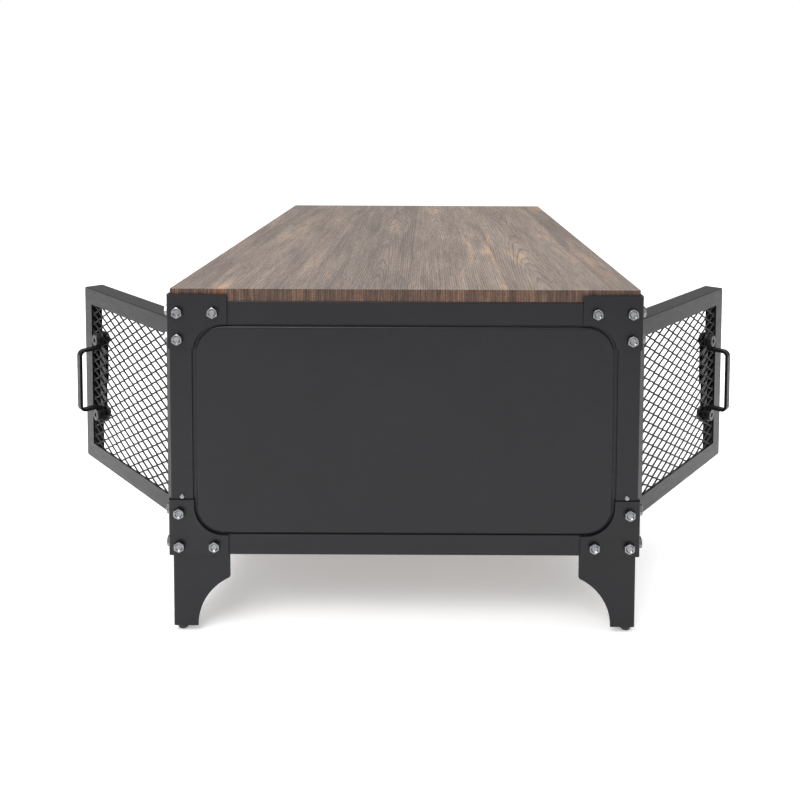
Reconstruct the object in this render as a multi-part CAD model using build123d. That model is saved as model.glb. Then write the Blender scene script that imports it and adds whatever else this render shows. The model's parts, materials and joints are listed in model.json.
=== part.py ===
"""Low metal and wood stand with a mesh door at each corner of its two long sides.

Units are millimetres.  X runs along the length, Y across the depth (front is -Y), Z is up,
and the origin is on the floor under the middle of the cabinet.  The doors at the +X end stand
open, the doors at the -X end are closed.
"""
from build123d import *
from math import radians, sqrt, tan
import os

# ---- driving dimensions -------------------------------------------------------------------
LENGTH = 1000.0              # over the corner plates
WIDTH = 600.0                # over the corner plates
HEIGHT = 445.0               # floor to the top of the table board
OPEN_FRONT_RIGHT = 44.3      # degrees that each door at the +X end stands open
OPEN_BACK_RIGHT = 40.7

STEEL = 2.0                  # plates, posts, rails and legs
THIN_STEEL = 1.5             # doors and dividers
PANEL_STEEL = 1.2            # pressed end panels
FOLD_R = 0.6                 # inside radius of a fold in STEEL
RAIL_FOLD_R = 1.6            # outside radius of a rail's fold
GAP = 0.2                    # between parts that butt against each other

TOP_BOARD = 15.5             # board thicknesses
BOTTOM_BOARD = 15.0
TOP_BOARD_SETBACK = 3.5      # board edge behind the corner plates' outer face
BOTTOM_BOARD_SETBACK = 16.0
BOARD_CORNER_R = 1.0
BOARD_EDGE_R = 0.6

FRAME_BOTTOM = 102.5          # underside of the bottom rails
BOTTOM_RAIL_TOP = 129.5
TOP_RAIL_BOTTOM = 401.0
FLANGE = 28.0                # horizontal flange of each rail
POST_FLANGE = 31.0           # outer edge of a post flange, from the corner planes
POST_RETURN = 22.0           # inward return that carries the hinges
RETURN_Z = (135.0, 396.0)

PLATE_REACH = 76.0           # corner plate width
PLATE_TOP_Z = (369.0, 438.0)
PLATE_BOTTOM_Z = (FRAME_BOTTOM, 174.5)
PLATE_ARC = 38.0             # concave corner of a plate, on the end face
ARC_CENTRE_IN = 70.5         # its centre, from the side plane
ARC_CENTRE_Z = (166.5, 363.5)
PLATE_NOTCH_R = 2.0          # inside corner of the square cut, on the side face

PANEL_Z = (132.0, 398.0)     # raised field of an end panel
PANEL_SIDE = 36.3            # field edge, from the side plane
PANEL_FLANGE_SIDE = 23.0
PANEL_FLANGE_Z = (117.0, 407.0)
PANEL_FACE = 0.3             # field face behind the plates' outer face
PANEL_FOLD_R = 2.8           # outside radius round the field
PANEL_NOTCH = (85.0, 127.5)  # corner notches over the legs: from the side plane, and height

LEG_REACH = 77.0             # leg edge, from the corner planes
LEG_FOOT = 35.5
LEG_ARC = 70.0               # radius of the curved inner edge
LEG_TIP_R = 4.0
LEG_TOP_Z = 126.0
LEG_SPINE = 22.0             # spine behind the post flange
LEG_SPINE_Z = 187.0
LEG_CLEAR = 2.0              # rail flanges stop this far from a leg
FOOT_PLATE = 26.5            # foot plate edge, from the corner planes
FOOT_PLATE_R = 8.0
RIVET_IN = 17.2              # rivet between spine and post: from the side plane, and height
RIVET_Z = 178.3
RIVET_HEAD_R = 3.2
RIVET_HEAD = 1.6
GLIDE_HEIGHT = 8.0
GLIDE_R = 7.0
GLIDE_DOME_R = 4.0
GLIDE_STEM_R = 3.0
GLIDE_STEM = 6.0
GLIDE_IN = 14.0              # glide centre, from the corner planes

BOLT_IN = (14.0, 58.5)       # bolt places, from the corner planes
BOLT_Z_PAIR = (115.0, 415.5)
BOLT_Z_SINGLE = (158.0, 381.5)
BOLT_HEAD_FLATS = 12.5
BOLT_HEAD = 5.0
BOLT_DISH = (4.9, 3.6, 1.3)  # round recess in the head: top radius, bottom radius, depth
BOLT_R = 3.0
BOLT_PAST_NUT = 1.5
NUT_FLATS = 10.0
NUT_THICK = 2.5

DOOR_WIDTH = 290.0
DOOR_Z = (133.0, 397.5)
DOOR_DEPTH = 26.0
DOOR_BORDER = 24.0
DOOR_CORNER_R = 4.0
DOOR_FACE_IN = 2.0           # closed door face, from the side plane
DOOR_EDGE_IN = 34.0          # hinge side edge, from the end plane
MESH_THICK = 1.6
MESH_LONG = 28.6             # diamond diagonals, centre to centre
MESH_SHORT = 14.5
MESH_STRAND = 2.4
MESH_RIM = 3.0
MESH_PAD = (16.0, 12.0)      # half size of the unpierced metal round each handle bolt

HINGE_IN = 32.5              # hinge axis, from the end plane
HINGE_OUT = 1.2              # hinge axis, outside the side plane
HINGE_Z = (203.0, 327.0)
HINGE_TALL = 54.0
KNUCKLE_R = 3.0
PIN_R = 1.5
PIN_CLEARANCE = 0.05
LEAF = 1.2
LEAF_WIDE = 21.0
LEAF_BEHIND = 0.5            # leaf edge behind the closed door's face
LEAF_APART = 0.3             # half the space between the two leaves

HANDLE_IN = 56.0             # handle centre, from the free edge
HANDLE_Z = 269.0
HANDLE_BOLTS = 113.0         # centre to centre
HANDLE_TALL = 93.0
HANDLE_PROUD = 33.5          # from the door face
BAR_WIDE = 10.0
BAR_THICK = 4.0
BEND_R = (3.0, 7.0)          # bends at the feet and at the grip, on the bar's middle line
EYE_R = 10.0
HANDLE_BOLT_R = 4.0
PAD = 2.5
HEAD_R = 9.0
HEAD = 4.5
SOCKET = (3.0, 2.6)          # hexagon socket: half its width across flats, and depth
HANDLE_NUT = (9.5, 6.0)      # radius and thickness
HANDLE_BOLT_PAST_NUT = 1.0
STRAP = (20.0, 2.0, 137.0)
STRAP_CORNER_R = 3.0

DIVIDER_FACE = 25.0          # width of the upright face between the bays
DOOR_GAP = 2.5               # closed door to divider
DIVIDER_RETURN = 36.0
DIVIDER_FOLD_R = 1.2
STRIKE_Z = (245.0, 305.0)
STRIKE_WIDE = 21.0
STRIKE_DEEP = 17.0
CATCH_GAP = 0.4              # magnet face to strike plate
CATCH = (22.0, 16.0, 40.0)
CATCH_CORNER_R = 2.0
SCREW_R = 2.0
SCREW_BITE = 11.0
SCREW_HEAD = 2.2
SCREW_IN = 24.0              # rail screws, from the corner planes
SIDE_SCREWS = (-330.0, 0.0, 330.0)
END_SCREWS = (-150.0, 150.0)
DIVIDER_SCREWS = (-200.0, 0.0, 200.0)

HALF_L = LENGTH / 2
HALF_W = WIDTH / 2
BOARD_Z = HEIGHT - TOP_BOARD
SHELF_Z = FRAME_BOTTOM + STEEL
DOOR_X = (HALF_L - DOOR_EDGE_IN - DOOR_WIDTH, HALF_L - DOOR_EDGE_IN)
DIVIDER_X = (DOOR_X[0] - DOOR_GAP - DIVIDER_FACE, DOOR_X[0] - DOOR_GAP)
HANDLE_X = DOOR_X[0] + HANDLE_IN
FACE_Y = HALF_W - DOOR_FACE_IN
HINGE_AXIS = Axis((HALF_L - HINGE_IN, HALF_W + HINGE_OUT, 0), (0, 0, 1))
ON_Z = (Align.CENTER, Align.CENTER, Align.MIN)
CORNERS = {
    "front_right": (1, -1), "back_right": (1, 1),
    "front_left": (-1, -1), "back_left": (-1, 1),
}


# ---- helpers ------------------------------------------------------------------------------
def block(x, y, z):
    """A box between (low, high) pairs."""
    size = [high - low for low, high in (x, y, z)]
    middle = [(high + low) / 2 for low, high in (x, y, z)]
    return Pos(*middle) * Box(*size)


def in_x(outer, inner):
    """X range at the +X end, from two distances behind the end plane."""
    return (HALF_L - inner, HALF_L - outer)


def in_y(outer, inner):
    """Y range at the +Y side, from two distances behind the side plane."""
    return (HALF_W - inner, HALF_W - outer)


def across_x(sketch, x):
    """A prism along X, from a sketch drawn in Y and Z, over the X range."""
    return extrude(Plane.YZ.offset(x[0]) * sketch, x[1] - x[0])


def across_y(sketch, y):
    """A prism along Y, from a sketch drawn in X and Z, over the Y range."""
    return extrude(Plane.XZ.offset(-y[1]) * sketch, y[1] - y[0])


def to_corner(shape, corner):
    """Mirror a shape made for the +X, +Y corner to another corner."""
    side_x, side_y = corner
    if side_x < 0:
        shape = mirror(shape, about=Plane.YZ)
    if side_y < 0:
        shape = mirror(shape, about=Plane.XZ)
    return shape


def at_all_corners(shapes):
    return [to_corner(shape, corner) for corner in CORNERS.values() for shape in shapes]


def upright_edge(shape, x, y):
    """The vertical edges nearest a plan position."""
    edges = shape.edges().filter_by(Axis.Z)
    near = [e for e in edges if abs(e.center().X - x) < 0.01 and abs(e.center().Y - y) < 0.01]
    return ShapeList(near)


def corner_angle(outer, reach, z):
    """A folded angle of STEEL thickness round the +X, +Y corner, with a rounded fold."""
    shape = block(in_x(outer, reach), in_y(outer, reach), z)
    shape -= block(in_x(outer + STEEL, reach), in_y(outer + STEEL, reach), z)
    shape = fillet(upright_edge(shape, HALF_L - outer, HALF_W - outer), STEEL + FOLD_R)
    return fillet(upright_edge(shape, HALF_L - outer - STEEL, HALF_W - outer - STEEL), FOLD_R)


def hex_head(flats, thick):
    """A hexagonal head on Z, from 0 up, with its top corners turned off and its top dished."""
    prism = extrude(RegularPolygon(flats / 2, 6, major_radius=False), thick)
    turned = 0.96 * flats / 2
    cone = Cone(turned + thick / tan(radians(30)), turned, thick, align=ON_Z)
    wide, narrow, deep = BOLT_DISH
    dish = Pos(0, 0, thick - deep) * Cone(narrow, wide, deep, align=ON_Z)
    return (prism & cone) - dish


def along_x(shape, x, y, z):
    """Stand a shape made on +Z on the end face, pointing out along +X."""
    return Pos(x, y, z) * (Rot(0, 90, 0) * shape)


def along_y(shape, x, y, z):
    """Stand a shape made on +Z on the side face, pointing out along +Y."""
    return Pos(x, y, z) * (Rot(-90, 0, 0) * shape)


def cylinder(r, low, high):
    """A cylinder on Z between two heights."""
    return Pos(0, 0, low) * Cylinder(r, high - low, align=ON_Z)


def bolt_places():
    """Every frame bolt of the +X, +Y corner: (distance in, height, depth of the stack)."""
    places = [(inward, z) for z in BOLT_Z_PAIR for inward in BOLT_IN]
    places += [(BOLT_IN[0], z) for z in BOLT_Z_SINGLE]
    return [(inward, z, 3 * STEEL if z < HEIGHT / 2 else 2 * STEEL) for inward, z in places]


def drill_corner(shape, r=BOLT_R):
    """Cut the frame bolt holes of the +X, +Y corner through a shape."""
    for inward, z, stack in bolt_places():
        drill = cylinder(r, -stack - 1, 1)
        shape -= along_x(drill, HALF_L, HALF_W - inward, z)
        shape -= along_y(drill, HALF_L - inward, HALF_W, z)
    return shape


# ---- frame --------------------------------------------------------------------------------
def panel_opening(grow):
    """The rounded opening round an end panel's field, as a sketch in Y and Z."""
    radius = PLATE_ARC + grow
    wide = 2 * (HALF_W - ARC_CENTRE_IN + radius)
    tall = ARC_CENTRE_Z[1] - ARC_CENTRE_Z[0] + 2 * radius
    return Pos(0, sum(ARC_CENTRE_Z) / 2) * RectangleRounded(wide, tall, radius)


def corner_plate(z):
    """A bolted corner plate, cut to the panel's curve at the end and square at the side."""
    shape = corner_angle(0, PLATE_REACH, z)
    shape -= across_x(panel_opening(0), in_x(-1, STEEL + 0.01))
    bay = (BOTTOM_RAIL_TOP, TOP_RAIL_BOTTOM)
    side = block(in_x(POST_FLANGE, PLATE_REACH + 1), in_y(-1, STEEL + 0.01), bay)
    inner = side.edges().filter_by(Axis.Y).group_by(Axis.X)[-1]
    shape -= fillet(inner, PLATE_NOTCH_R)
    return drill_corner(shape)


def post():
    shape = corner_angle(STEEL, POST_FLANGE, (FRAME_BOTTOM, BOARD_Z))
    inward = in_y(2 * STEEL, 2 * STEEL + POST_RETURN)
    shape += block(in_x(POST_FLANGE - STEEL, POST_FLANGE), inward, RETURN_Z)
    return drill_corner(shape) - rivet_hole()


def rivet_hole():
    """The hole for the rivet that holds a leg's spine to its post."""
    return along_x(cylinder(SCREW_R, -3 * STEEL, 0), HALF_L - STEEL, HALF_W - RIVET_IN, RIVET_Z)


def leg():
    """An angle with a curved inner edge, a spine inside the post and a foot plate."""
    wing = (2 * STEEL, LEG_REACH)
    shape = corner_angle(2 * STEEL, LEG_REACH, (GLIDE_HEIGHT, LEG_SPINE_Z))
    top = (LEG_TOP_Z, LEG_SPINE_Z + 1)
    shape -= block(in_x(LEG_SPINE, LEG_REACH + 1), in_y(0, LEG_REACH), top)
    shape -= block(in_x(0, LEG_REACH), in_y(LEG_SPINE, LEG_REACH + 1), top)
    shape -= across_x(leg_curve(HALF_W), in_x(*wing))
    shape -= across_y(leg_curve(HALF_L), in_y(*wing))
    tips = [e for e in shape.edges() if is_leg_tip(e.center())]
    shape = fillet(ShapeList(tips), LEG_TIP_R)
    foot = (3 * STEEL, FOOT_PLATE)
    plate = block(in_x(*foot), in_y(*foot), (GLIDE_HEIGHT, GLIDE_HEIGHT + STEEL))
    shape += fillet(upright_edge(plate, HALF_L - FOOT_PLATE, HALF_W - FOOT_PLATE), FOOT_PLATE_R)
    stem = cylinder(GLIDE_STEM_R, 0, GLIDE_HEIGHT + GLIDE_STEM)
    shape -= Pos(HALF_L - GLIDE_IN, HALF_W - GLIDE_IN, 0) * stem
    return drill_corner(shape) - rivet_hole()


def leg_curve(half):
    """The round cut beside a leg's foot, as a sketch of distance along and height."""
    return Pos(half - LEG_FOOT - LEG_ARC, GLIDE_HEIGHT) * Circle(LEG_ARC)


def is_leg_tip(place):
    """Whether a point is on the corner where a leg's straight edge meets its curve."""
    height = GLIDE_HEIGHT + sqrt(LEG_ARC ** 2 - (LEG_REACH - LEG_FOOT - LEG_ARC) ** 2)
    inward = max(HALF_L - place.X, HALF_W - place.Y)
    return abs(place.Z - height) < 0.1 and abs(inward - LEG_REACH) < 0.1


def rail_z(top):
    """The height range of a rail and of its horizontal flange."""
    if top:
        return (TOP_RAIL_BOTTOM, BOARD_Z), (BOARD_Z - STEEL, BOARD_Z)
    return (FRAME_BOTTOM, BOTTOM_RAIL_TOP), (FRAME_BOTTOM, FRAME_BOTTOM + STEEL)


def end_rail(top):
    """The rail across the +X end."""
    tall, flat = rail_z(top)
    half = HALF_W - POST_FLANGE - GAP
    flange_half = half if top else HALF_W - LEG_REACH - LEG_CLEAR
    shape = block(in_x(STEEL, 2 * STEEL), (-half, half), tall)
    shape += block(in_x(STEEL, STEEL + FLANGE), (-flange_half, flange_half), flat)
    face_edges = shape.edges().filter_by(Axis.Y).group_by(Axis.X)[-1].sort_by(Axis.Z)
    shape = fillet(face_edges[-1 if top else 0], RAIL_FOLD_R)
    for _ in range(2):
        shape = drill_corner(mirror(shape, about=Plane.XZ))
    for y in END_SCREWS:
        shape -= screw_hole(HALF_L - SCREW_IN, y, flat)
    return shape


def side_rail(top):
    """The rail along the +Y side."""
    tall, flat = rail_z(top)
    half = HALF_L - POST_FLANGE - GAP
    flange_half = half if top else HALF_L - LEG_REACH - LEG_CLEAR
    shape = block((-half, half), in_y(STEEL, 2 * STEEL), tall)
    shape += block((-flange_half, flange_half), in_y(STEEL, STEEL + FLANGE), flat)
    face_edges = shape.edges().filter_by(Axis.X).group_by(Axis.Y)[-1].sort_by(Axis.Z)
    shape = fillet(face_edges[-1 if top else 0], RAIL_FOLD_R)
    for _ in range(2):
        shape = drill_corner(mirror(shape, about=Plane.YZ))
    for x in SIDE_SCREWS:
        shape -= screw_hole(x, HALF_W - SCREW_IN, flat)
    return shape


def screw_hole(x, y, z):
    return Pos(x, y, 0) * cylinder(SCREW_R, *z)


def end_panel():
    """A pressed panel whose field stands out between the posts and rails of the +X end."""
    radius = ARC_CENTRE_IN - PANEL_SIDE
    field_wide = 2 * (HALF_W - PANEL_SIDE)
    middle = sum(PANEL_Z) / 2
    tall = PANEL_Z[1] - PANEL_Z[0]
    back = 2 * STEEL
    outer_form = Pos(0, middle) * RectangleRounded(field_wide, tall, radius)
    inner_form = Pos(0, middle) * RectangleRounded(
        field_wide - 2 * PANEL_STEEL, tall - 2 * PANEL_STEEL, radius - PANEL_STEEL)
    pan = across_x(outer_form, in_x(PANEL_FACE, back + PANEL_STEEL))
    pan = fillet(pan.faces().sort_by(Axis.X)[-1].edges(), PANEL_FOLD_R)
    half = HALF_W - PANEL_FLANGE_SIDE
    pan += block(in_x(back, back + PANEL_STEEL), (-half, half), PANEL_FLANGE_Z)
    hollow = across_x(inner_form, in_x(PANEL_FACE + PANEL_STEEL, back + 2 * PANEL_STEEL))
    pan -= fillet(hollow.faces().sort_by(Axis.X)[-1].edges(), PANEL_FOLD_R - PANEL_STEEL)
    notch_in, notch_top = PANEL_NOTCH
    for sign in (1, -1):
        across = sorted((sign * (HALF_W - notch_in), sign * HALF_W))
        pan -= block(in_x(0, back + 2 * PANEL_STEEL), across, (PANEL_FLANGE_Z[0] - 1, notch_top))
    return pan


# ---- boards and dividers ------------------------------------------------------------------
def rail_screw_places():
    """Plan positions of the screws through the rails' flanges."""
    sides = [(x, sign * (HALF_W - SCREW_IN)) for x in SIDE_SCREWS for sign in (1, -1)]
    return sides + [(sign * (HALF_L - SCREW_IN), y) for y in END_SCREWS for sign in (1, -1)]


def divider_screw_places():
    x = (DIVIDER_X[0] + DIVIDER_X[1]) / 2
    return [(sign * x, y) for y in DIVIDER_SCREWS for sign in (1, -1)]


def screw(x, y, face, up):
    """A pan head wood screw whose head bears on a sheet of steel at a height."""
    body = cylinder(SCREW_R, 0, SCREW_BITE) + cylinder(2 * SCREW_R, -SCREW_HEAD, 0)
    body = fillet(body.edges().group_by(Axis.Z)[0], SCREW_HEAD / 2)
    return Pos(x, y, face) * (body if up else Rot(180, 0, 0) * body)


def board_screws():
    """Screws into both boards, from the rails and from the dividers."""
    divider_floor = SHELF_Z + BOTTOM_BOARD + THIN_STEEL
    shapes = [screw(x, y, BOARD_Z - STEEL, True) for x, y in rail_screw_places()]
    shapes += [screw(x, y, FRAME_BOTTOM, True) for x, y in rail_screw_places()]
    shapes += [screw(x, y, BOARD_Z - THIN_STEEL, True) for x, y in divider_screw_places()]
    shapes += [screw(x, y, divider_floor, False) for x, y in divider_screw_places()]
    return shapes


def top_board():
    inset = TOP_BOARD_SETBACK
    x, y = HALF_L - inset, HALF_W - inset
    shape = block((-x, x), (-y, y), (BOARD_Z, HEIGHT))
    shape = fillet(shape.edges().filter_by(Axis.Z), BOARD_CORNER_R)
    shape = fillet(shape.faces().sort_by(Axis.Z)[-1].edges(), BOARD_EDGE_R)
    for place in rail_screw_places() + divider_screw_places():
        shape -= screw_hole(*place, (BOARD_Z - 1, BOARD_Z + SCREW_BITE))
    return shape


def bottom_board():
    inset = BOTTOM_BOARD_SETBACK
    x, y = HALF_L - inset, HALF_W - inset
    top = SHELF_Z + BOTTOM_BOARD
    shape = block((-x, x), (-y, y), (SHELF_Z, top))
    shape = fillet(shape.edges().filter_by(Axis.Z), BOARD_CORNER_R)
    for place in rail_screw_places():
        shape -= screw_hole(*place, (SHELF_Z - 1, SHELF_Z + SCREW_BITE))
    for place in divider_screw_places():
        shape -= screw_hole(*place, (top - SCREW_BITE, top + 1))
    return shape


def divider():
    """The folded steel divider of the +X bay, with an upright face at each long side."""
    low, high = DIVIDER_X
    web = (low, low + THIN_STEEL)
    floor = SHELF_Z + BOTTOM_BOARD
    inside = HALF_W - 2 * STEEL - GAP
    under_board = HALF_W - STEEL - FLANGE - GAP
    bay = (BOTTOM_RAIL_TOP + GAP, TOP_RAIL_BOTTOM - GAP)
    shelf_half = HALF_W - BOTTOM_BOARD_SETBACK
    shape = block(web, (-under_board, under_board), (floor, BOARD_Z))
    shape += block(web, (-inside, inside), (BOTTOM_RAIL_TOP + GAP, BOARD_Z - STEEL - GAP))
    shape += block(web, (-shelf_half, shelf_half), (floor, BOTTOM_RAIL_TOP + GAP))
    shape += block((low, high), (-under_board, under_board), (BOARD_Z - THIN_STEEL, BOARD_Z))
    shape += block((low, high), (-under_board, under_board), (floor, floor + THIN_STEEL))
    for sign in (1, -1):
        outer, inner = sign * FACE_Y, sign * (FACE_Y - THIN_STEEL)
        deep = sign * (FACE_Y - DIVIDER_RETURN)
        shape += block((low, high), sorted((outer, inner)), bay)
        shape += block(web, sorted((outer, deep)), bay)
        shape += block((high - THIN_STEEL, high), sorted((outer, deep)), bay)
        folds = [e for x in (low, high) for e in upright_edge(shape, x, outer)]
        shape = fillet(ShapeList(folds), DIVIDER_FOLD_R)
    for x, y in divider_screw_places():
        shape -= screw_hole(abs(x), y, (floor - 1, floor + THIN_STEEL + 1))
        shape -= screw_hole(abs(x), y, (BOARD_Z - THIN_STEEL - 1, BOARD_Z + 1))
    return shape


# ---- fasteners and feet -------------------------------------------------------------------
def frame_bolts():
    """The hexagon head bolts of one corner, on its end face and its side face."""
    shapes = []
    for inward, z, stack in bolt_places():
        shank = cylinder(BOLT_R, -stack - NUT_THICK - BOLT_PAST_NUT, 0)
        bolt = hex_head(BOLT_HEAD_FLATS, BOLT_HEAD) + shank
        shapes.append(along_x(bolt, HALF_L, HALF_W - inward, z))
        shapes.append(along_y(bolt, HALF_L - inward, HALF_W, z))
    return shapes


def weld_nuts():
    """The thin nuts welded behind the frame bolts of one corner."""
    shapes = []
    for inward, z, stack in bolt_places():
        flat = RegularPolygon(NUT_FLATS / 2, 6, major_radius=False, rotation=30) - Circle(BOLT_R)
        nut = Pos(0, 0, -stack - NUT_THICK) * extrude(flat, NUT_THICK)
        shapes.append(along_x(nut, HALF_L, HALF_W - inward, z))
        shapes.append(along_y(nut, HALF_L - inward, HALF_W, z))
    return shapes


def leg_rivet():
    body = cylinder(SCREW_R, -2 * STEEL, 0) + cylinder(RIVET_HEAD_R, 0, RIVET_HEAD)
    body = fillet(body.edges().group_by(Axis.Z)[-1], 0.75 * RIVET_HEAD)
    return along_x(body, HALF_L - STEEL, HALF_W - RIVET_IN, RIVET_Z)


def leg_glide():
    """A domed plastic glide with a stem pushed into the foot plate."""
    dome = cylinder(GLIDE_R, 0, GLIDE_HEIGHT)
    dome = fillet(dome.edges().group_by(Axis.Z)[0], GLIDE_DOME_R)
    stem = cylinder(GLIDE_STEM_R, GLIDE_HEIGHT, GLIDE_HEIGHT + GLIDE_STEM)
    return Pos(HALF_L - GLIDE_IN, HALF_W - GLIDE_IN, 0) * (dome + stem)


def magnetic_catch():
    """A catch body on the divider's return, just behind the closed door's strike plate."""
    wide, deep, tall = CATCH
    y_face = FACE_Y - DOOR_DEPTH - CATCH_GAP
    middle = sum(STRIKE_Z) / 2
    height = (middle - tall / 2, middle + tall / 2)
    shape = block((DIVIDER_X[1], DIVIDER_X[1] + wide), (y_face - deep, y_face), height)
    return fillet(shape.edges().filter_by(Axis.Z).group_by(Axis.X)[-1], CATCH_CORNER_R)


# ---- hinges -------------------------------------------------------------------------------
def hinge_leaf(middle, side, knuckles, bore):
    """One leaf: a plate beside the axis (side -1 on the post, +1 on the door) and its knuckles."""
    near, far = sorted((HINGE_IN + side * LEAF_APART, HINGE_IN + side * (LEAF_APART + LEAF)))
    z = (middle - HINGE_TALL / 2, middle + HINGE_TALL / 2)
    edge = DOOR_FACE_IN + LEAF_BEHIND
    plate = block(in_x(near, far), in_y(edge, edge + LEAF_WIDE), z)
    drill = HINGE_AXIS.location * cylinder(bore, z[0] - 1, z[1] + 1)
    for low, high in knuckles:
        span = (z[0] + low, z[0] + high)
        plate += block(in_x(near, far), in_y(-HINGE_OUT, edge), span)
        plate += HINGE_AXIS.location * cylinder(KNUCKLE_R, *span)
    return plate - drill


def fixed_leaves():
    third = HINGE_TALL / 3
    spans = [(0, third - GAP), (2 * third + GAP, HINGE_TALL)]
    return [hinge_leaf(z, -1, spans, PIN_R) for z in HINGE_Z]


def moving_leaves():
    third = HINGE_TALL / 3
    return [hinge_leaf(z, 1, [(third, 2 * third)], PIN_R + PIN_CLEARANCE) for z in HINGE_Z]


def hinge_pins():
    half = HINGE_TALL / 2
    return [HINGE_AXIS.location * cylinder(PIN_R, z - half, z + half) for z in HINGE_Z]


# ---- doors --------------------------------------------------------------------------------
def door_sheet(inset, radius):
    """A rounded rectangle inside the door's outline, as a sketch in X and Z."""
    wide = DOOR_WIDTH - 2 * inset
    tall = DOOR_Z[1] - DOOR_Z[0] - 2 * inset
    return Pos(sum(DOOR_X) / 2, sum(DOOR_Z) / 2) * RectangleRounded(wide, tall, radius)


def door_frame():
    """A folded sheet frame: a flat border with flanges turned back round its edge."""
    shape = across_y(door_sheet(0, DOOR_CORNER_R), (FACE_Y - DOOR_DEPTH, FACE_Y))
    shape = fillet(shape.faces().sort_by(Axis.Y)[-1].edges(), 1.2)
    hollow = door_sheet(THIN_STEEL, DOOR_CORNER_R - THIN_STEEL)
    shape -= across_y(hollow, (FACE_Y - DOOR_DEPTH - 1, FACE_Y - THIN_STEEL))
    return shape - across_y(door_sheet(DOOR_BORDER, 1.0), (FACE_Y - DOOR_DEPTH, FACE_Y + 1))


def handle_bolt_z():
    return [HANDLE_Z - HANDLE_BOLTS / 2, HANDLE_Z + HANDLE_BOLTS / 2]


def mesh_diamonds():
    """Centres of the open diamonds, in staggered rows across the door."""
    inset = THIN_STEEL + GAP + MESH_RIM
    reach_x = DOOR_WIDTH / 2 - inset - MESH_LONG / 2
    reach_z = (DOOR_Z[1] - DOOR_Z[0]) / 2 - inset - MESH_SHORT / 2
    rows = int(reach_z / (MESH_SHORT / 2))
    for row in range(-rows, rows + 1):
        shift = MESH_LONG / 2 * (row % 2)
        count = int(DOOR_WIDTH / MESH_LONG)
        for column in range(-count, count + 1):
            x = column * MESH_LONG + shift
            if abs(x) <= reach_x:
                yield sum(DOOR_X) / 2 + x, sum(DOOR_Z) / 2 + row * MESH_SHORT / 2


def door_mesh():
    """Expanded metal: a flat sheet with staggered diamond openings."""
    y_back = FACE_Y - THIN_STEEL - MESH_THICK
    half_x = MESH_LONG / 2 - MESH_STRAND
    half_z = half_x * MESH_SHORT / MESH_LONG
    openings = []
    for x, z in mesh_diamonds():
        to_bolt = min(abs(z - bolt_z) for bolt_z in handle_bolt_z())
        if abs(x - HANDLE_X) > MESH_PAD[0] or to_bolt > MESH_PAD[1]:
            corners = [(x + half_x, z), (x, z + half_z), (x - half_x, z), (x, z - half_z)]
            openings.append([Vector(a, y_back, c) for a, c in corners])
    outline = Plane.XZ.offset(-y_back) * door_sheet(THIN_STEEL + GAP, DOOR_CORNER_R - THIN_STEEL)
    inner = [Wire.make_polygon(points, close=True) for points in openings]
    inner += [
        Wire.make_circle(HANDLE_BOLT_R, Plane((HANDLE_X, y_back, z), z_dir=(0, 1, 0)))
        for z in handle_bolt_z()
    ]
    sheet = Face(outline.face().outer_wire(), inner)
    return Solid.extrude(sheet, Vector(0, MESH_THICK, 0))


def handle():
    """A flat bar bent to a D, with a round eye at each end for its bolt."""
    y_foot = FACE_Y - THIN_STEEL + PAD
    y_path = y_foot + BAR_THICK / 2
    y_grip = FACE_Y + HANDLE_PROUD - BAR_THICK / 2
    grip = HANDLE_TALL / 2 - BAR_THICK / 2
    low, high = handle_bolt_z()
    arms = [(y_path, low), (y_path, HANDLE_Z - grip), (y_grip, HANDLE_Z - grip),
            (y_grip, HANDLE_Z + grip), (y_path, HANDLE_Z + grip), (y_path, high)]
    foot_bend, grip_bend = BEND_R
    path = FilletPolyline(*arms, radius=[foot_bend, grip_bend, grip_bend, foot_bend])
    bar = trace(path, line_width=BAR_THICK)
    shape = across_x(bar, (HANDLE_X - BAR_WIDE / 2, HANDLE_X + BAR_WIDE / 2))
    for z in (low, high):
        shape += along_y(cylinder(EYE_R, 0, BAR_THICK), HANDLE_X, y_foot, z)
        shape -= along_y(cylinder(HANDLE_BOLT_R, -1, BAR_THICK + 1), HANDLE_X, y_foot, z)
    return shape


def handle_strap():
    """The flat strap behind the mesh that the handle's bolts clamp."""
    wide, thick, tall = STRAP
    y_front = FACE_Y - THIN_STEEL - MESH_THICK
    x = (HANDLE_X - wide / 2, HANDLE_X + wide / 2)
    shape = block(x, (y_front - thick, y_front), (HANDLE_Z - tall / 2, HANDLE_Z + tall / 2))
    shape = fillet(shape.edges().filter_by(Axis.Y), STRAP_CORNER_R)
    for z in handle_bolt_z():
        shape -= along_y(cylinder(HANDLE_BOLT_R, -thick - 1, 1), HANDLE_X, y_front, z)
    return shape


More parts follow.
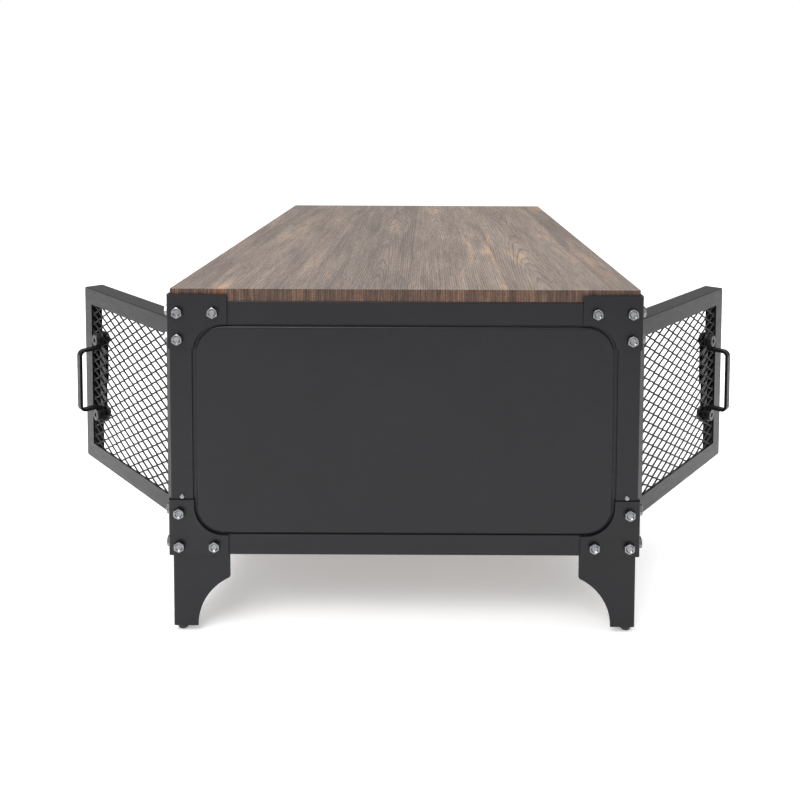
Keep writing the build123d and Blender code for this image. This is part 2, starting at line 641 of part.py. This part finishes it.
def handle_fasteners():
    """For each end of the handle: a washer, a socket head bolt and a round nut."""
    y_pad = FACE_Y - THIN_STEEL
    y_seat = y_pad + PAD + BAR_THICK
    y_nut = y_pad - MESH_THICK - STRAP[1]
    nut_r, nut_thick = HANDLE_NUT
    half_flats, socket_deep = SOCKET
    reach = y_seat - y_nut + nut_thick + HANDLE_BOLT_PAST_NUT
    bore = Circle(HANDLE_BOLT_R)
    shapes = []
    for z in handle_bolt_z():
        washer = extrude(Circle(EYE_R) - bore, PAD)
        shapes.append(along_y(washer, HANDLE_X, y_pad, z))
        head = fillet(cylinder(HEAD_R, 0, HEAD).edges().group_by(Axis.Z)[-1], 1.0)
        socket = extrude(RegularPolygon(half_flats, 6, major_radius=False), socket_deep)
        head -= Pos(0, 0, HEAD - socket_deep) * socket
        shapes.append(along_y(head + cylinder(HANDLE_BOLT_R, -reach, 0), HANDLE_X, y_seat, z))
        nut = extrude(Circle(nut_r) - bore, -nut_thick)
        nut = fillet(nut.edges().group_by(Axis.Z)[0].sort_by(SortBy.RADIUS)[-1], 1.5)
        shapes.append(along_y(nut, HANDLE_X, y_nut, z))
    return shapes


def strike_plate():
    """A steel angle inside the free edge that the catch's magnet holds."""
    x_in = DOOR_X[0] + THIN_STEEL
    y_back = FACE_Y - DOOR_DEPTH
    shape = block((x_in, x_in + THIN_STEEL), (y_back, y_back + STRIKE_DEEP), STRIKE_Z)
    return shape + block((x_in, x_in + STRIKE_WIDE), (y_back, y_back + THIN_STEEL), STRIKE_Z)


# ---- assembly -----------------------------------------------------------------------------
def frame_nodes():
    nodes = {
        "top_board": top_board(),
        "bottom_board": bottom_board(),
        "corner_plates_top": at_all_corners([corner_plate(PLATE_TOP_Z)]),
        "corner_plates_bottom": at_all_corners([corner_plate(PLATE_BOTTOM_Z)]),
        "frame_bolts": at_all_corners(frame_bolts()),
        "weld_nuts": at_all_corners(weld_nuts()),
        "leg_rivets": at_all_corners([leg_rivet()]),
        "leg_glides": at_all_corners([leg_glide()]),
        "board_screws": board_screws(),
        "magnetic_catches": at_all_corners([magnetic_catch()]),
        "hinge_fixed_leaves": at_all_corners(fixed_leaves()),
        "hinge_pins": at_all_corners(hinge_pins()),
    }
    for name, corner in CORNERS.items():
        nodes[f"post_{name}"] = to_corner(post(), corner)
        nodes[f"leg_{name}"] = to_corner(leg(), corner)
    for end, side_x in (("right", 1), ("left", -1)):
        corner = (side_x, 1)
        nodes[f"end_panel_{end}"] = to_corner(end_panel(), corner)
        nodes[f"divider_{end}"] = to_corner(divider(), corner)
        nodes[f"end_rail_top_{end}"] = to_corner(end_rail(True), corner)
        nodes[f"end_rail_bottom_{end}"] = to_corner(end_rail(False), corner)
    for side, side_y in (("front", -1), ("back", 1)):
        nodes[f"side_rail_top_{side}"] = to_corner(side_rail(True), (1, side_y))
        nodes[f"side_rail_bottom_{side}"] = to_corner(side_rail(False), (1, side_y))
    return nodes


def door_nodes(name, corner, opened):
    """The nodes of one door, turned outwards about its hinge by its rest angle."""
    shapes = {
        "door_frame": [door_frame()],
        "door_mesh": [door_mesh()],
        "door_handle": [handle()],
        "handle_strap": [handle_strap()],
        "handle_fasteners": handle_fasteners(),
        "strike_plate": [strike_plate()],
        "hinge_leaves": moving_leaves(),
    }
    return {
        f"{kind}_{name}": [to_corner(s.rotate(HINGE_AXIS, -opened), corner) for s in solids]
        for kind, solids in shapes.items()
    }


def main():
    os.makedirs("parts", exist_ok=True)
    opened = {"front_right": OPEN_FRONT_RIGHT, "back_right": OPEN_BACK_RIGHT}
    nodes = frame_nodes()
    for name, corner in CORNERS.items():
        nodes.update(door_nodes(name, corner, opened.get(name, 0.0)))
    for name, shapes in nodes.items():
        pieces = shapes if isinstance(shapes, list) else [shapes]
        solids = [solid for piece in pieces for solid in piece.solids()]
        export_step(solids[0] if len(solids) == 1 else Compound(children=solids), f"parts/{name}.step")


main()
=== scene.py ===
"""Looks for the low mesh-door stand: materials, expanded-metal mesh, studio and camera."""
import bpy
import json
import math
from mathutils import Matrix, Vector


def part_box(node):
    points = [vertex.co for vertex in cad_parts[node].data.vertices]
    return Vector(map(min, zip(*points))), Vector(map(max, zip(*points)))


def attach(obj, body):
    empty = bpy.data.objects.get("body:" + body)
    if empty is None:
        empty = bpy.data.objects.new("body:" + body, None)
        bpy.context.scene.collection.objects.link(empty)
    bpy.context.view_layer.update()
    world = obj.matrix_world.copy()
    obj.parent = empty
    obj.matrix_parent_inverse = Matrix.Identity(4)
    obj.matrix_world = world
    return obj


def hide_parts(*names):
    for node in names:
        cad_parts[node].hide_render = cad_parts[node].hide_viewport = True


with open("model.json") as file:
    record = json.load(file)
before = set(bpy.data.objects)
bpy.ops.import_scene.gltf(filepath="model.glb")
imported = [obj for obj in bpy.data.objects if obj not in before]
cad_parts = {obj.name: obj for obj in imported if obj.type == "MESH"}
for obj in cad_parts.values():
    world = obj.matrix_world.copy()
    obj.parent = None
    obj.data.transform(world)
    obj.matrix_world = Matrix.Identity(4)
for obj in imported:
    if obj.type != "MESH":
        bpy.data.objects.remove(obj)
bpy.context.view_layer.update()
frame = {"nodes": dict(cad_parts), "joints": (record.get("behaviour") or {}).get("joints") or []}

# ---- sizes, in metres ---------------------------------------------------------------------
MESH_LONG = 0.0286           # diamond diagonals of the expanded metal
MESH_SHORT = 0.0145
STRAND = 0.0025              # strand width
STRAND_DEPTH = 0.00140
KNOT_FUSED = 0.3             # two strands are this far, in strand widths, from their knot's middle
KNOT_HALF = 0.0007           # half the length of the flat at a knot
STRAND_CUT = 0.3             # bevel of a strand's edges, in halves of its depth
RAISE = 0.00010              # how far a strand leans out of the sheet at its knots

SKY_LOW = 0.17               # strength of the surround level with the object, and overhead
SKY_HIGH = 1.0
FLOOR_GLOW = 0.34
FLOOR_REACH = 30.0

CAMERA_AT = (1.5333, 0.0286, 0.6607)
CAMERA_PITCH = math.radians(3.0)
CAMERA_ROLL = math.radians(0.25)
CAMERA_LENS = 37.48
CAMERA_SHIFT = (-0.0357, -0.2985)

PLANK = 0.128                # width of one printed plank, and where the first joint falls
PLANK_START = 0.253
PLANK_SHIFT = 7.0            # how far apart along the print two planks may be cut
RING_RATE = 2100.0           # growth rings, in radians per metre
RING_WOBBLE = 6.0            # how far, in radians, the rings stray
TAPER_RATE = 2.6             # the trunk's swell, in radians per metre, and its depth
TAPER_DEPTH = 0.018
SWAY_DEPTH = 0.035           # how far the trunk's crook moves its heart below the board
HEART_SPREAD = 0.06          # how far from a plank's middle its heart may lie
WOOD_DARK = (0.122, 0.088, 0.068)
WOOD_MID = (0.158, 0.116, 0.091)
WOOD_LIGHT = (0.188, 0.142, 0.113)
WOOD_PALE = (0.32, 0.205, 0.130)
GRAIN_COLOUR = (0.040, 0.038, 0.042, 1.0)
EDGE_TINT = (0.56, 0.38, 0.285, 1.0)

STEEL_COLOUR = (0.0096, 0.0096, 0.0114)
BLACK_COLOUR = (0.0050, 0.0050, 0.0054)

DOORS = ("front_right", "back_right", "front_left", "back_left")


# ---- shader helpers -----------------------------------------------------------------------
class Shader:
    """A node material, with short calls that add a node and join its inputs."""

    def __init__(self, name):
        self.material = bpy.data.materials.new(name)
        self.material.use_nodes = True
        self.tree = self.material.node_tree
        self.bsdf = self.tree.nodes["Principled BSDF"]
        self.place = self.add("ShaderNodeTexCoord").outputs["Object"]

    def add(self, kind, settings=None, **inputs):
        node = self.tree.nodes.new(kind)
        for key, value in (settings or {}).items():
            setattr(node, key, value)
        for key, value in inputs.items():
            self.join(value, node.inputs[key.replace("_", " ")])
        return node

    def join(self, value, socket):
        if isinstance(value, bpy.types.NodeSocket):
            self.tree.links.new(value, socket)
        else:
            socket.default_value = value

    def math(self, operation, *values):
        node = self.add("ShaderNodeMath", {"operation": operation})
        for value, socket in zip(values, node.inputs):
            self.join(value, socket)
        return node.outputs[0]

    def scaled(self, x, y, z, source=None):
        """The object's coordinates, or another vector, stretched along each axis."""
        node = self.add("ShaderNodeMapping", Scale=(x, y, z))
        self.join(self.place if source is None else source, node.inputs["Vector"])
        return node.outputs[0]

    def noise(self, vector, scale, detail=3.0, rough=0.5, distortion=0.0):
        node = self.add("ShaderNodeTexNoise", Scale=scale, Detail=detail, Roughness=rough,
                        Distortion=distortion, Vector=vector)
        return node.outputs["Fac"]

    def ramp(self, factor, *stops):
        """Colours or grey levels placed at positions from 0 to 1."""
        node = self.add("ShaderNodeValToRGB", Fac=factor)
        elements = node.color_ramp.elements
        while len(elements) < len(stops):
            elements.new(0.5)
        for element, (position, value) in zip(elements, stops):
            element.position = position
            element.color = value if len(value) == 4 else (*value, 1.0)
        return node.outputs["Color"]

    def mix(self, factor, first, second, blend="MIX"):
        # a colour mix has its factor on socket 0, its colours on 6 and 7 and its result on 2
        node = self.add("ShaderNodeMix", {"data_type": "RGBA", "blend_type": blend})
        self.join(factor, node.inputs[0])
        self.join(first, node.inputs[6])
        self.join(second, node.inputs[7])
        return node.outputs[2]

    def bump(self, height, distance, strength=1.0, under=None):
        node = self.add("ShaderNodeBump", Height=height, Distance=distance, Strength=strength)
        if under is not None:
            self.join(under, node.inputs["Normal"])
        return node.outputs["Normal"]

    def surface(self, **inputs):
        for key, value in inputs.items():
            self.join(value, self.bsdf.inputs[key.replace("_", " ")])
        return self.material


def grey(level):
    return (level, level, level, 1.0)


# ---- materials ----------------------------------------------------------------------------
def powder_coat(name, colour, rough, gloss=0.27, peel=0.00005):
    """Satin powder coat: orange-peel bump, slight mottling and scuffs where it is rougher."""
    s = Shader(name)
    fine = s.noise(s.place, 900.0, 2.0)
    broad = s.noise(s.place, 6.0, 4.0, 0.6)
    scuff = s.noise(s.scaled(40.0, 40.0, 220.0), 1.0, 5.0, 0.65, 0.4)
    dark = tuple(0.84 * c for c in colour)
    light = tuple(1.18 * c for c in colour)
    tone = s.ramp(broad, (0.3, dark), (0.7, light))
    speck = s.ramp(fine, (0.35, grey(0.88)), (0.65, grey(1.06)))
    base = s.mix(1.0, tone, speck, "MULTIPLY")
    shine = s.ramp(scuff, (0.35, grey(rough - 0.05)), (0.62, grey(rough + 0.03)),
                   (0.8, grey(rough + 0.12)))
    return s.surface(Base_Color=base, Roughness=shine, Normal=s.bump(fine, peel),
                     Specular_IOR_Level=gloss)


def zinc_plate():
    """Bright zinc: metallic, with a faint yellow-blue bloom and turning marks."""
    s = Shader("zinc")
    bloom = s.noise(s.place, 180.0, 3.0)
    marks = s.noise(s.scaled(900.0, 900.0, 160.0), 1.0, 3.0, 0.6)
    base = s.ramp(bloom, (0.3, (0.15, 0.157, 0.175)), (0.5, (0.215, 0.218, 0.228)),
                  (0.72, (0.28, 0.272, 0.255)))
    rough = s.ramp(marks, (0.3, grey(0.12)), (0.7, grey(0.27)))
    return s.surface(Base_Color=base, Metallic=1.0, Roughness=rough, Normal=s.bump(marks, 0.00004))


def dark_steel():
    """Black-oxide steel of the handle's bolts, a little brighter where it is rubbed."""
    s = Shader("black_oxide")
    rub = s.noise(s.place, 260.0, 4.0, 0.6)
    base = s.ramp(rub, (0.35, (0.030, 0.030, 0.032)), (0.62, (0.060, 0.058, 0.057)),
                  (0.8, (0.16, 0.15, 0.14)))
    rough = s.ramp(rub, (0.3, grey(0.42)), (0.7, grey(0.26)))
    return s.surface(Base_Color=base, Metallic=0.8, Roughness=rough, Normal=s.bump(rub, 0.00005))


def moulded_plastic():
    """Black moulded plastic with a fine spark-eroded texture."""
    s = Shader("black_plastic")
    fine = s.noise(s.place, 2200.0, 2.0)
    broad = s.noise(s.place, 60.0, 3.0)
    base = s.ramp(broad, (0.3, (0.012, 0.012, 0.013)), (0.7, (0.024, 0.024, 0.025)))
    rough = s.ramp(fine, (0.3, grey(0.5)), (0.7, grey(0.66)))
    return s.surface(Base_Color=base, Roughness=rough, Normal=s.bump(fine, 0.00003))


def wood_grain(name, pressed):
    """Dark planked wood print with cathedral figure, pores, patches and pressed relief."""
    s = Shader(name)
    along, across, height = s.add("ShaderNodeSeparateXYZ", Vector=s.place).outputs
    lane = s.math("DIVIDE", s.math("ADD", across, PLANK_START), PLANK)
    index = s.math("FLOOR", lane)
    local = s.math("MULTIPLY", s.math("SUBTRACT", s.math("SUBTRACT", lane, index), 0.5), PLANK)
    pick = s.add("ShaderNodeTexWhiteNoise", {"noise_dimensions": "1D"}, W=index).outputs["Value"]
    moved = s.math("ADD", along, s.math("MULTIPLY", pick, PLANK_SHIFT))
    flow = s.add("ShaderNodeCombineXYZ", X=moved, Y=local, Z=height).outputs[0]

    # growth rings: each plank is cut near the heart of a tapered, slightly crooked trunk
    sway = s.noise(s.scaled(1.6, 7.0, 7.0, flow), 1.0, 2.0)
    wobble = s.noise(s.scaled(14.0, 70.0, 70.0, flow), 1.0, 4.0, 0.6)
    taper = s.math("SINE", s.math("MULTIPLY", moved, TAPER_RATE))
    depth = s.math("ADD", s.math("MULTIPLY", taper, TAPER_DEPTH), s.math("MULTIPLY", sway, SWAY_DEPTH))
    aside = s.math("MULTIPLY", s.math("SUBTRACT", pick, 0.5), HEART_SPREAD)
    centre = s.math("ADD", local, aside)
    reach = s.math("SQRT", s.math("ADD", s.math("POWER", centre, 2.0), s.math("POWER", depth, 2.0)))
    strayed = s.math("MULTIPLY", wobble, RING_WOBBLE)
    rings = s.math("ADD", s.math("MULTIPLY", reach, RING_RATE), strayed)
    figure = s.math("ADD", s.math("MULTIPLY", s.math("SINE", rings), 0.5), 0.5)
    groove = s.ramp(figure, (0.04, grey(0.0)), (0.24, grey(1.0)))
    fade = s.ramp(s.noise(s.scaled(9.0, 60.0, 60.0, flow), 1.0, 4.0, 0.6),
                  (0.36, grey(0.20)), (0.60, grey(0.66)))

    # colour: broad patches, then plank tone, streaks, pores, ring lines and plank joints
    pores = s.noise(s.scaled(60.0, 900.0, 900.0, flow), 1.0, 3.0, 0.7)
    streak = s.noise(s.scaled(6.0, 240.0, 240.0, flow), 1.0, 5.0, 0.72)
    patch = s.noise(s.scaled(3.4, 26.0, 26.0, flow), 1.0, 6.0, 0.66, 0.4)
    base = s.ramp(patch, (0.32, WOOD_DARK), (0.44, WOOD_MID), (0.56, WOOD_LIGHT), (0.70, WOOD_PALE))
    base = s.mix(1.0, base, s.ramp(pick, (0.0, grey(0.84)), (1.0, grey(1.14))), "MULTIPLY")
    shade = s.ramp(streak, (0.36, grey(0.70)), (0.5, grey(0.98)), (0.64, grey(1.20)))
    base = s.mix(0.85, base, shade, "MULTIPLY")
    base = s.mix(0.7, base, s.ramp(pores, (0.40, grey(0.45)), (0.52, grey(1.0))), "MULTIPLY")
    base = s.mix(s.math("MULTIPLY", s.math("SUBTRACT", 1.0, groove), fade), base, GRAIN_COLOUR)
    joint = s.ramp(s.math("ABSOLUTE", s.math("DIVIDE", local, PLANK)),
                   (0.485, grey(1.0)), (0.498, grey(0.55)))
    base = s.mix(0.6, base, joint, "MULTIPLY")

    # the edge banding is browner, with dark and light streaks up its height
    facing = s.add("ShaderNodeSeparateXYZ", Vector=s.add("ShaderNodeNewGeometry").outputs["Normal"])
    is_edge = s.math("LESS_THAN", s.math("ABSOLUTE", facing.outputs["Z"]), 0.5)
    bars = s.noise(s.scaled(190.0, 190.0, 6.0), 1.0, 5.0, 0.75)
    band = s.ramp(bars, (0.30, grey(0.40)), (0.5, grey(0.95)), (0.70, grey(2.3)))
    edge = s.mix(1.0, s.mix(1.0, base, EDGE_TINT, "MULTIPLY"), band, "MULTIPLY")
    base = s.mix(is_edge, base, edge)

    rough = s.ramp(groove, (0.0, grey(0.60)), (1.0, grey(0.44)))
    relief = s.bump(groove, pressed, 0.8)
    relief = s.bump(pores, 0.5 * pressed, 0.7, relief)
    relief = s.bump(joint, pressed, 0.7, relief)
    return s.surface(Base_Color=base, Roughness=rough, Normal=relief)


def dress_cad_nodes():
    """Give every CAD node its material by what it is made of."""
    coat = powder_coat("charcoal_powder_coat", STEEL_COLOUR, rough=0.38)
    door_coat = powder_coat("door_powder_coat", STEEL_COLOUR, rough=0.36)
    black = powder_coat("black_powder_coat", BLACK_COLOUR, rough=0.40, gloss=0.3)
    zinc, plastic = zinc_plate(), moulded_plastic()
    woods = {"top_board": wood_grain("wood_top", pressed=0.0004),
             "bottom_board": wood_grain("wood_shelf", pressed=0.0002)}
    by_start = {
        "frame_bolts": zinc, "weld_nuts": zinc, "leg_rivets": zinc, "board_screws": zinc,
        "handle_fasteners": dark_steel(), "leg_glides": plastic, "magnetic_catches": plastic,
        "door_frame": door_coat, "door_handle": black, "handle_strap": black,
        "strike_plate": black, "hinge": door_coat,
    }
    for name, node in frame["nodes"].items():
        kinds = [m for start, m in by_start.items() if name.startswith(start)]
        material = woods.get(name) or (kinds[0] if kinds else coat)
        node.data.materials.clear()
        node.data.materials.append(material)


# ---- expanded metal -----------------------------------------------------------------------
def wave_sections(x_low, x_high, x_centre, z_middle, rising):
    """Centres of one zigzag strand, in x, z and lean, from one side of the door to the other."""
    half = MESH_LONG / 2
    swing = MESH_SHORT / 4 - KNOT_FUSED * STRAND
    first = math.ceil((x_low - x_centre) / half)
    last = math.floor((x_high - x_centre) / half)
    points = []
    for k in range(first, last + 1):
        peak = 1 if (k % 2 == 0) == rising else -1
        for side in (-KNOT_HALF, KNOT_HALF):
            points.append((x_centre + k * half + side, z_middle + peak * swing, peak * RAISE))
    points[0] = (x_low, *points[0][1:])
    points[-1] = (x_high, *points[-1][1:])
    return points


def strand_ring():
    """The eight-sided section of a strand, as offsets in depth and height."""
    half_d, half_h = STRAND_DEPTH / 2, STRAND / 2
    cut = STRAND_CUT * half_d
    ring = [(half_d, half_h - cut), (half_d - cut, half_h),
            (-half_d + cut, half_h), (-half_d, half_h - cut)]
    return ring + [(-d, -h) for d, h in ring]


def expanded_metal(low, high):
    """Vertices and faces of a sheet of expanded metal that fills a box."""
    ring = strand_ring()
    count = len(ring)
    x_centre, z_centre = (low.x + high.x) / 2, (low.z + high.z) / 2
    y = (low.y + high.y) / 2
    rows = int((high.z - low.z) / MESH_SHORT)
    points, faces = [], []
    for row in range(-rows, rows):
        z_middle = z_centre + (row + 0.5) * MESH_SHORT / 2
        start = len(points)
        sections = wave_sections(low.x, high.x, x_centre, z_middle, row % 2 == 0)
        for x, z, lean in sections:
            points += [(x, y + lean + depth, z + height) for depth, height in ring]
        for step in range(len(sections) - 1):
            a, b = start + step * count, start + (step + 1) * count
            for i in range(count):
                j = (i + 1) % count
                faces.append((a + i, b + i, b + j, a + j))
        faces.append(tuple(start + i for i in range(count)))
        faces.append(tuple(start + (len(sections) - 1) * count + i for i in reversed(range(count))))
    return points, faces


def door_space(name):
    """The transform that takes the closed back left door to a door's place at rest."""
    joint = next(j for j in frame["joints"] if j["child"] == f"door_{name}")
    side_x = 1 if name.endswith("right") else -1
    side_y = -1 if name.startswith("front") else 1
    flip = Matrix.Diagonal((-side_x, side_y, 1.0, 1.0))
    opened = math.radians(-joint["range_deg"][0])
    pivot = Matrix.Translation(joint["pos_m"])
    turn = Matrix.Rotation(opened, 4, Vector(joint["axis"]))
    return pivot @ turn @ pivot.inverted() @ flip, side_x * side_y > 0


def build_door_meshes(material):
    """One expanded-metal sheet for each door, in place of the plain CAD grille."""
    points, faces = expanded_metal(*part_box("door_mesh_back_left"))
    for name in DOORS:
        space, mirrored = door_space(name)
        data = bpy.data.meshes.new(f"expanded_metal_{name}")
        wound = [tuple(reversed(f)) for f in faces] if mirrored else faces
        data.from_pydata([space @ Vector(p) for p in points], [], wound)
        data.materials.append(material)
        piece = bpy.data.objects.new(f"expanded_metal_{name}", data)
        bpy.context.scene.collection.objects.link(piece)
        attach(piece, f"door_{name}")
        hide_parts(f"door_mesh_{name}")


# ---- studio -------------------------------------------------------------------------------
def make_floor():
    """A plain pale floor that glows a little, so that it reads white."""
    data = bpy.data.meshes.new("floor")
    turns = ((-1, -1), (1, -1), (1, 1), (-1, 1))
    corners = [(x * FLOOR_REACH, y * FLOOR_REACH, 0) for x, y in turns]
    data.from_pydata(corners, [], [(0, 1, 2, 3)])
    s = Shader("floor")
    tone = s.ramp(s.noise(s.place, 6.0, 4.0), (0.3, grey(0.86)), (0.7, grey(0.89)))
    data.materials.append(s.surface(
        Base_Color=tone, Roughness=0.8, Specular_IOR_Level=0.1,
        Emission_Color=(1.0, 1.0, 1.0, 1.0), Emission_Strength=FLOOR_GLOW))
    floor = bpy.data.objects.new("floor", data)
    bpy.context.scene.collection.objects.link(floor)


def softbox(name, place, target, size, power):
    """A rectangular lamp that faces its target."""
    light = bpy.data.lights.new(name, "AREA")
    light.shape = "RECTANGLE"
    light.size, light.size_y = size
    light.energy = power
    lamp = bpy.data.objects.new(name, light)
    lamp.location = place
    lamp.rotation_euler = (Vector(target) - Vector(place)).to_track_quat("-Z", "Y").to_euler()
    bpy.context.scene.collection.objects.link(lamp)


def make_light():
    """A white studio: bright above, dim behind the camera, and white where the camera looks."""
    world = bpy.data.worlds.new("studio")
    bpy.context.scene.world = world
    world.use_nodes = True
    tree = world.node_tree
    toward = tree.nodes.new("ShaderNodeTexCoord").outputs["Generated"]
    split = tree.nodes.new("ShaderNodeSeparateXYZ")
    tree.links.new(toward, split.inputs[0])
    level = tree.nodes.new("ShaderNodeMapRange")
    level.interpolation_type = "SMOOTHSTEP"
    level.inputs["From Min"].default_value = -0.05
    level.inputs["From Max"].default_value = 0.9
    level.inputs["To Min"].default_value = SKY_LOW
    level.inputs["To Max"].default_value = SKY_HIGH
    tree.links.new(split.outputs["Z"], level.inputs["Value"])

    # the camera's own rays meet plain white, which is socket 3 of the mix; the rest get the level
    seen = tree.nodes.new("ShaderNodeLightPath").outputs["Is Camera Ray"]
    pick = tree.nodes.new("ShaderNodeMix")
    pick.data_type = "FLOAT"
    tree.links.new(seen, pick.inputs[0])
    tree.links.new(level.outputs[0], pick.inputs[2])
    pick.inputs[3].default_value = 1.0
    background = tree.nodes["Background"]
    background.inputs["Color"].default_value = (1.0, 1.0, 1.0, 1.0)
    tree.links.new(pick.outputs[0], background.inputs["Strength"])
    softbox("overhead", place=(-0.4, 0.0, 2.4), target=(-0.2, 0.0, 0.0), size=(3.0, 2.4), power=56.0)
    softbox("key", place=(1.7, -0.8, 2.0), target=(0.3, 0.0, 0.3), size=(1.6, 1.0), power=34.0)


def make_camera():
    """A camera beyond the +X end, looking along -X and slightly down."""
    data = bpy.data.cameras.new("camera")
    data.lens, data.sensor_width = CAMERA_LENS, 36.0
    data.shift_x, data.shift_y = CAMERA_SHIFT
    camera = bpy.data.objects.new("camera", data)
    forward = Vector((-math.cos(CAMERA_PITCH), 0.0, -math.sin(CAMERA_PITCH)))
    right, up = Vector((0.0, 1.0, 0.0)), Vector((-math.sin(CAMERA_PITCH), 0.0, math.cos(CAMERA_PITCH)))
    turn = Matrix.Rotation(CAMERA_ROLL, 3, -forward)
    axes = Matrix((right, up, -forward)).transposed()
    camera.matrix_world = Matrix.Translation(CAMERA_AT) @ (turn @ axes).to_4x4()
    bpy.context.scene.collection.objects.link(camera)
    bpy.context.scene.camera = camera


make_camera()
make_light()
make_floor()
dress_cad_nodes()
build_door_meshes(powder_coat("mesh_powder_coat", BLACK_COLOUR, rough=0.5, gloss=0.15))
bpy.context.scene.view_settings.view_transform = "Standard"
